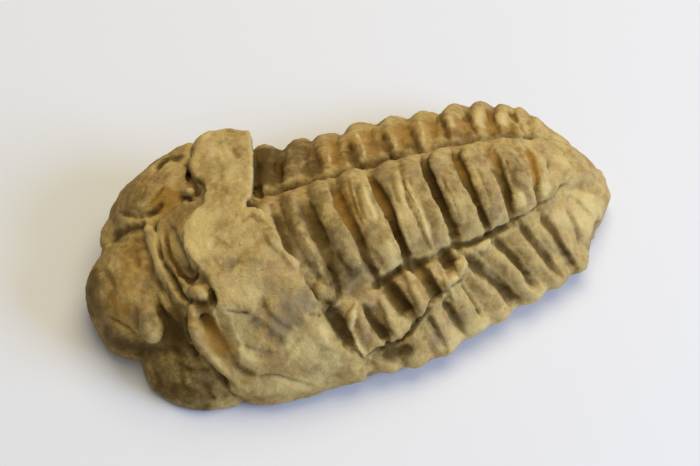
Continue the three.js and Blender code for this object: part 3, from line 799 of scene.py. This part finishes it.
def round_edges(stone, shape):
    """Turns the facets into a smooth skin that keeps the broken edges of the rock fairly crisp."""
    make_active(stone)
    bpy.ops.object.mode_set(mode="EDIT")
    bpy.ops.mesh.select_mode(type="EDGE")
    bpy.ops.mesh.select_all(action="DESELECT")
    bpy.ops.mesh.edges_select_sharp(sharpness=BROKEN_EDGE)
    bpy.ops.transform.edge_crease(value=shape.edge_crease)
    bpy.ops.object.mode_set(mode="OBJECT")
    apply_modifier(stone, "SUBSURF", levels=2, render_levels=2)
    apply_modifier(stone, "REMESH", mode="VOXEL", voxel_size=shape.voxel)
    heights = vertex_places(stone.data)[:, 2]
    give_group(stone, "belly", (heights < 0.5 * shape.voxel).astype(float))
    apply_modifier(stone, "DECIMATE", ratio=shape.kept_share, vertex_group="belly", vertex_group_factor=10.0)
    stone.vertex_groups.remove(stone.vertex_groups["belly"])
    apply_modifier(stone, "SMOOTH", factor=0.5, iterations=4)


def skin_texture(name, kind, size, **settings):
    texture = bpy.data.textures.new(name, kind)
    texture.noise_scale = size
    for key, value in settings.items():
        setattr(texture, key, value)
    return texture


def roughen(stone, shape):
    """Lumps, pits and grain of weathered rock, pushed along the surface."""
    lumps = skin_texture("lumps", "CLOUDS", 5.5 * MM, noise_depth=1)
    pits = skin_texture("pits", "CLOUDS", 1.9 * MM, noise_depth=2, noise_type="HARD_NOISE")
    grain = skin_texture("grain", "CLOUDS", 0.75 * MM, noise_depth=1)
    chips = skin_texture("chips", "VORONOI", 2.6 * MM, distance_metric="DISTANCE", noise_intensity=1.0)
    layers = (
        (lumps, shape.lump_height),
        (chips, shape.chip_height),
        (pits, -shape.pit_height),
        (grain, shape.grain_height),
    )
    heights = vertex_places(stone.data)[:, 2]
    give_group(stone, "upper", soft_step(heights / (BELLY_RIM * MM)))
    for texture, height in layers:
        apply_modifier(
            stone,
            "DISPLACE",
            texture=texture,
            texture_coords="LOCAL",
            strength=height,
            mid_level=0.5,
            vertex_group="upper",
        )
    stone.vertex_groups.remove(stone.vertex_groups["upper"])


def carve(stone, camera, shape):
    """Adds the strokes: ridges are raised and grooves are cut, along the surface, and the depth of the cuts is kept
    for painted shade in the grooves.
    """
    surface = StoneSurface(stone, camera, shape.edge_wander)
    lift = np.zeros(len(surface.places))
    for left, right, height, route in STROKES:
        lift += height * MM * surface.stroke(route, left * MM, right * MM, pointed=True)
    for name, part in (("raised", np.maximum(lift, 0)), ("cut", np.maximum(-lift, 0))):
        most = part.max()
        if most == 0:
            continue
        give_group(stone, name, part / most)
        strength = most if name == "raised" else -most
        apply_modifier(stone, "DISPLACE", strength=strength, mid_level=0.0, vertex_group=name)
        stone.vertex_groups.remove(stone.vertex_groups[name])
    # The depth of each cut, kept for painted shade in the grooves
    give_attribute(stone, "soil", np.maximum(-lift, 0) / MM)


def keep_inside(stone):
    """Keeps the skin inside the solid's box, so that the dressed stone is no larger than the solid."""
    low, high = (np.array(corner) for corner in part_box(STONE_NODE))
    mesh = stone.data
    places = np.clip(vertex_places(mesh), low, high)
    mesh.vertices.foreach_set("co", places.ravel())
    mesh.update()


def paint_stains(stone, camera, shape):
    """One attribute per stain, strongest on its own routes; the umber routes also carry painted shade and the cream
    routes painted highlights.
    """
    surface = StoneSurface(stone, camera, shape.edge_wander)
    for name, patches in STAINS.items():
        amount = np.zeros(len(surface.places))
        for half_width, strength, route in patches:
            reach = STAIN_SPREAD * half_width * MM
            amount = np.maximum(amount, strength * surface.stroke(route, reach, reach, pointed=False))
        give_attribute(stone, name, amount)


def paint_relief(stone, camera, shape):
    """Attributes for painted light and shade: a painted highlight on crests, painted shade in hollows and on slopes
    that face the head, and painted light on slopes that face the tail.

    Crests and hollows are told by how far the skin stands above or below its own smoothed shape.
    """
    normals = np.empty(len(stone.data.vertices) * 3)
    stone.data.vertex_normals.foreach_get("vector", normals)
    normals = normals.reshape(-1, 3)
    smoothed = stone.copy()
    smoothed.data = stone.data.copy()
    bpy.context.scene.collection.objects.link(smoothed)
    apply_modifier(smoothed, "SMOOTH", factor=0.5, iterations=shape.relief_spread)
    rise = vertex_places(stone.data) - vertex_places(smoothed.data)
    above = (rise * normals).sum(axis=1)
    bpy.data.meshes.remove(smoothed.data)
    # How far each slope faces the tail: painted light on slopes that face it, painted shade on slopes that face the
    # head
    tailward = normals @ np.array(camera.right)
    give_attribute(stone, "headward", -tailward)
    give_attribute(stone, "tailward", tailward)
    give_attribute(stone, "crest", above / shape.relief_depth)
    give_attribute(stone, "hollow", -above / shape.relief_depth)


def new_group(name, inputs, outputs):
    """An empty shader node group with its sockets, and its two end nodes."""
    group = bpy.data.node_groups.new(name, "ShaderNodeTree")
    for socket, kind, default in inputs:
        made = group.interface.new_socket(socket, in_out="INPUT", socket_type=kind)
        if default is not None:
            made.default_value = default
    for socket, kind in outputs:
        group.interface.new_socket(socket, in_out="OUTPUT", socket_type=kind)
    start = group.nodes.new("NodeGroupInput")
    end = group.nodes.new("NodeGroupOutput")
    return group, start, end


def add_noise(tree, size, detail=4.0, roughness=0.55, distortion=0.0):
    """Noise on the stone's own coordinates, with features about as wide as size."""
    where = tree.nodes.new("ShaderNodeTexCoord")
    cloud = tree.nodes.new("ShaderNodeTexNoise")
    cloud.inputs["Scale"].default_value = 1 / size
    cloud.inputs["Detail"].default_value = detail
    cloud.inputs["Roughness"].default_value = roughness
    cloud.inputs["Distortion"].default_value = distortion
    tree.links.new(where.outputs["Object"], cloud.inputs["Vector"])
    return cloud.outputs["Fac"]


def add_attribute(tree, name):
    node = tree.nodes.new("ShaderNodeAttribute")
    node.attribute_name = name
    return node.outputs["Fac"]


def add_map(tree, value, low, high, to_low=0.0, to_high=1.0):
    node = tree.nodes.new("ShaderNodeMapRange")
    node.interpolation_type = "SMOOTHSTEP"
    node.inputs["From Min"].default_value = low
    node.inputs["From Max"].default_value = high
    node.inputs["To Min"].default_value = to_low
    node.inputs["To Max"].default_value = to_high
    tree.links.new(value, node.inputs["Value"])
    return node.outputs["Result"]


def add_math(tree, operation, first, second):
    node = tree.nodes.new("ShaderNodeMath")
    node.operation = operation
    for socket, value in zip(node.inputs, (first, second)):
        if isinstance(value, (int, float)):
            socket.default_value = value
        else:
            tree.links.new(value, socket)
    return node.outputs["Value"]


def add_mix(tree, share, first, second, blend="MIX"):
    node = tree.nodes.new("ShaderNodeMix")
    node.data_type = "RGBA"
    node.blend_type = blend
    sockets = {s.identifier: s for s in node.inputs}
    for name, value in (("Factor_Float", share), ("A_Color", first), ("B_Color", second)):
        socket = sockets[name]
        if isinstance(value, (int, float)):
            socket.default_value = value
        elif isinstance(value, (tuple, list)):
            socket.default_value = (*value[:3], 1.0)
        else:
            tree.links.new(value, socket)
    return [s for s in node.outputs if s.identifier == "Result_Color"][0]


def stain_mask_group():
    """Breaks up with noise the soft edge of a painted stain, and of the painted shade and highlights laid on the
    same way.
    """
    inputs = (
        ("Amount", "NodeSocketFloat", 0.0),
        ("Size", "NodeSocketFloat", 2.0 * MM),
        ("Raggedness", "NodeSocketFloat", 0.75),
    )
    group, start, end = new_group("Stain Mask", inputs, [("Mask", "NodeSocketFloat")])
    where = group.nodes.new("ShaderNodeTexCoord")
    cloud = group.nodes.new("ShaderNodeTexNoise")
    cloud.inputs["Detail"].default_value = 7.0
    cloud.inputs["Roughness"].default_value = 0.66
    group.links.new(where.outputs["Object"], cloud.inputs["Vector"])
    group.links.new(add_math(group, "DIVIDE", 1.0, start.outputs["Size"]), cloud.inputs["Scale"])
    centred = add_math(group, "SUBTRACT", cloud.outputs["Fac"], 0.5)
    wander = add_math(group, "MULTIPLY", centred, start.outputs["Raggedness"])
    moved = add_math(group, "ADD", start.outputs["Amount"], add_math(group, "MULTIPLY", wander, 2.0))
    ragged = add_map(group, moved, 0.0, 0.95)
    bound = add_map(group, start.outputs["Amount"], 0.0, 0.3)
    group.links.new(add_math(group, "MULTIPLY", ragged, bound), end.inputs["Mask"])
    return group


def stone_material(colours):
    material = bpy.data.materials.new("fossil stone")
    material.use_nodes = True
    tree = material.node_tree
    shader = tree.nodes["Principled BSDF"]
    shader.inputs["Specular IOR Level"].default_value = 0.25

    mottle = add_map(tree, add_noise(tree, 5 * MM, 6.0, 0.65, 0.6), 0.40, 0.60)
    colour = add_mix(tree, mottle, tuple(colours.tan), tuple(colours.buff))
    for size, detail, roughness, distortion, low, high, strength, name in TONE_CLOUDS:
        cloud = add_map(tree, add_noise(tree, size * MM, detail, roughness, distortion), low, high)
        share = add_math(tree, "MULTIPLY", cloud, strength)
        colour = add_mix(tree, share, colour, tuple(getattr(colours, name)))

    # Painted shade on slopes that face the head and in hollows, painted light on slopes that face the tail, and a
    # painted highlight on crests
    for attribute, low, high, name, strength in RELIEF_TONES:
        relief = add_attribute(tree, attribute)
        share = add_math(tree, "MULTIPLY", add_map(tree, relief, low, high), strength)
        colour = add_mix(tree, share, colour, tuple(getattr(colours, name)))

    # Painted shade in the cut grooves, darker the deeper they are
    soil = add_math(tree, "MULTIPLY", add_attribute(tree, "soil"), GROOVE_SHADE_STRENGTH)
    colour = add_mix(tree, soil, colour, tuple(colours.umber))

    # Stains, and the painted shade and highlights among the umber and cream routes
    stain_mask = stain_mask_group()
    for name in STAINS:
        mask = tree.nodes.new("ShaderNodeGroup")
        mask.node_tree = stain_mask
        tree.links.new(add_attribute(tree, name), mask.inputs["Amount"])
        colour = add_mix(tree, mask.outputs["Mask"], colour, tuple(getattr(colours, name)))

    fine = add_noise(tree, 0.28 * MM, 3.0, 0.65)
    grain = add_mix(tree, add_map(tree, fine, 0.3, 0.7), GRAIN_SHADE, (1, 1, 1))
    colour = add_mix(tree, GRAIN_STRENGTH, colour, grain, "MULTIPLY")
    tree.links.new(colour, shader.inputs["Base Color"])

    roughness = add_map(tree, add_noise(tree, 1.5 * MM), 0.3, 0.7, 0.78, 0.95)
    tree.links.new(roughness, shader.inputs["Roughness"])
    bump = tree.nodes.new("ShaderNodeBump")
    bump.inputs["Strength"].default_value = 0.85
    bump.inputs["Distance"].default_value = 0.22 * MM
    coarse = add_noise(tree, 0.8 * MM, 4.0, 0.7)
    height = add_math(tree, "ADD", add_math(tree, "MULTIPLY", fine, 0.6), coarse)
    tree.links.new(height, bump.inputs["Height"])
    tree.links.new(bump.outputs["Normal"], shader.inputs["Normal"])
    return material


class FOSSIL_OT_stone(bpy.types.Operator):
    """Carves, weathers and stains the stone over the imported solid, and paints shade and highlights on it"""

    bl_idname = "fossil.stone"
    bl_label = "Build Stone"

    def execute(self, context):
        scene = context.scene
        camera = PhotoCamera(scene.fossil_stage)
        stone = copy_of_solid()
        round_edges(stone, scene.fossil_shape)
        carve(stone, camera, scene.fossil_shape)
        roughen(stone, scene.fossil_shape)
        keep_inside(stone)
        paint_stains(stone, camera, scene.fossil_shape)
        paint_relief(stone, camera, scene.fossil_shape)
        make_active(stone)
        bpy.ops.object.shade_smooth()
        stone.data.materials.append(stone_material(scene.fossil_colours))
        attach(stone, "root")
        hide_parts(STONE_NODE)
        return {"FINISHED"}


def add_area_light(name, view, aim, settings):
    """A round soft light, placed against the camera's direction and turned to its aim."""
    (rightward, onward, upward), size, power, colour = settings
    away = Vector((-view.back.x, -view.back.y, 0)).normalized()
    place = aim + view.right * rightward + away * onward + Vector((0, 0, upward))
    bpy.ops.object.light_add(type="AREA", location=place)
    light = bpy.context.active_object
    light.name = name
    light.data.shape = "DISK"
    light.data.size = size
    light.data.energy = power
    light.data.color = colour
    light.rotation_euler = (aim - place).to_track_quat("-Z", "Y").to_euler()


class FOSSIL_OT_stage(bpy.types.Operator):
    """Sets up the pale floor, the two soft lights and the camera at the photograph's angle"""

    bl_idname = "fossil.stage"
    bl_label = "Set Stage"

    def execute(self, context):
        scene = context.scene
        view = PhotoCamera(scene.fossil_stage)
        target = Vector(scene.fossil_stage.target)

        deselect_all()
        bpy.ops.mesh.primitive_plane_add(size=FLOOR_SIZE, location=(0, 0, 0))
        floor = context.active_object
        floor.name = "floor"
        paper = bpy.data.materials.new("white paper")
        paper.use_nodes = True
        shader = paper.node_tree.nodes["Principled BSDF"]
        shader.inputs["Base Color"].default_value = PAPER_COLOUR
        shader.inputs["Roughness"].default_value = 0.8
        floor.data.materials.append(paper)

        add_area_light("window", view, target, WINDOW)
        add_area_light("lamp", view, target, LAMP)

        world = bpy.data.worlds.new("studio")
        world.use_nodes = True
        sky = world.node_tree.nodes["Background"]
        sky.inputs["Color"].default_value = SKY_COLOUR
        sky.inputs["Strength"].default_value = SKY_STRENGTH
        scene.world = world
        scene.view_settings.view_transform = "Standard"

        bpy.ops.object.camera_add()
        camera = context.active_object
        camera.name = "camera"
        camera.matrix_world = view.matrix()
        camera.data.lens = scene.fossil_stage.lens
        camera.data.sensor_width = SENSOR_WIDTH
        camera.data.clip_end = 10.0
        scene.camera = camera
        return {"FINISHED"}


class FOSSIL_PT_panel(bpy.types.Panel):
    """Lists the steps and the values that they use"""

    bl_label = "Trilobite Fossil"
    bl_idname = "FOSSIL_PT_panel"
    bl_space_type = "VIEW_3D"
    bl_region_type = "UI"
    bl_category = "Fossil"

    def draw(self, context):
        layout = self.layout
        scene = context.scene
        for group in (scene.fossil_shape, scene.fossil_colours, scene.fossil_stage):
            box = layout.box()
            for name in group.__annotations__:
                box.prop(group, name)
        layout.operator(FOSSIL_OT_stage.bl_idname)
        layout.operator(FOSSIL_OT_stone.bl_idname)


CLASSES = (FossilShape, FossilColours, FossilStage, FOSSIL_OT_stone, FOSSIL_OT_stage, FOSSIL_PT_panel)


def register():
    for cls in CLASSES:
        bpy.utils.register_class(cls)
    bpy.types.Scene.fossil_shape = bpy.props.PointerProperty(type=FossilShape)
    bpy.types.Scene.fossil_colours = bpy.props.PointerProperty(type=FossilColours)
    bpy.types.Scene.fossil_stage = bpy.props.PointerProperty(type=FossilStage)


def unregister():
    del bpy.types.Scene.fossil_stage
    del bpy.types.Scene.fossil_colours
    del bpy.types.Scene.fossil_shape
    for cls in reversed(CLASSES):
        bpy.utils.unregister_class(cls)


def main():
    register()
    bpy.ops.fossil.stage()
    bpy.ops.fossil.stone()


if __name__ == "__main__":
    main()
